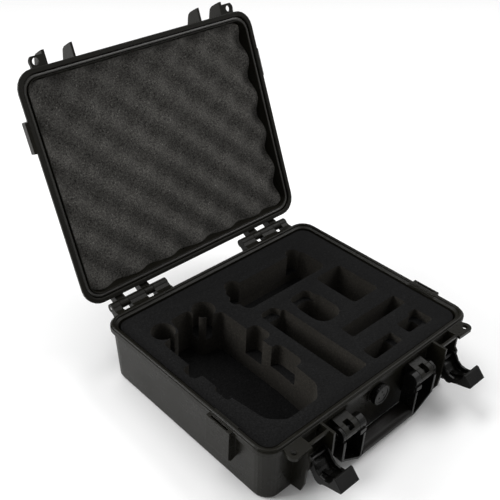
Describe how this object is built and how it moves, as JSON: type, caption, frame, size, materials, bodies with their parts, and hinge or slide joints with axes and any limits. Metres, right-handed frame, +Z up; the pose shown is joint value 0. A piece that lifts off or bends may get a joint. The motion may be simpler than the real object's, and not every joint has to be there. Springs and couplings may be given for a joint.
{
  "type": "drone carrying case",
  "caption": "Hinged waterproof hard case, open, with shaped foam cut-outs for a folding drone and its accessories, egg-crate lid foam, draw latches, carry handle and pressure valve.",
  "frame": {"origin": "centre of the flat face the case stands on", "axes": "+Z up, +X to the right along the width and the hinge line, the front with latches and handle faces -Y, and the lid leans back over +Y"},
  "size_m": [0.346, 0.4699, 0.3464],
  "materials": {
    "case_plastic": "fine moulded grain, matte",
    "trim_plastic": "satin moulded plastic",
    "black_rubber": "matte elastomer",
    "pin_steel": "drawn steel pin",
    "base_foam_grey": "closed-cell cut foam",
    "lid_foam_grey": "open-cell egg-crate foam"
  },
  "bodies": {
    "base": {"base_shell": "case_plastic", "hinge_pin_left": "pin_steel", "hinge_pin_right": "pin_steel", "latch_pin_left": "pin_steel", "latch_pin_right": "pin_steel", "handle_pin_left": "pin_steel", "handle_pin_right": "pin_steel", "valve_bush": "trim_plastic", "valve_nut": "trim_plastic", "valve_seal": "black_rubber", "base_foam_pad": "base_foam_grey", "base_foam_tray": "base_foam_grey"},
    "lid": {"lid_shell": "case_plastic", "lid_gasket": "black_rubber", "lid_foam": "lid_foam_grey"},
    "latch_left": {"latch_left": "trim_plastic"},
    "latch_right": {"latch_right": "trim_plastic"},
    "handle": {"handle": "trim_plastic", "handle_grip": "black_rubber"},
    "valve_knob": {"valve_knob": "trim_plastic"}
  },
  "joints": [
    {"name": "lid_hinge", "type": "hinge", "parent": "base", "child": "lid", "pos_m": [0, 0.146, 0.074], "axis": [1, 0, 0], "range_deg": [0, 113.3]},
    {"name": "latch_left_pivot", "type": "hinge", "parent": "base", "child": "latch_left", "pos_m": [-0.10615, -0.1429, 0.0499], "axis": [-1, 0, 0], "range_deg": [0, 93]},
    {"name": "latch_right_pivot", "type": "hinge", "parent": "base", "child": "latch_right", "pos_m": [0.10615, -0.1429, 0.0499], "axis": [-1, 0, 0], "range_deg": [0, 93]},
    {"name": "handle_swing", "type": "hinge", "parent": "base", "child": "handle", "pos_m": [0, -0.1414, 0.0541], "axis": [-1, 0, 0], "range_deg": [0, 90]},
    {"name": "valve_turn", "type": "hinge", "parent": "base", "child": "valve_knob", "pos_m": [0, -0.131, 0.056], "axis": [0, -1, 0], "range_deg": [0, 180]}
  ]
}
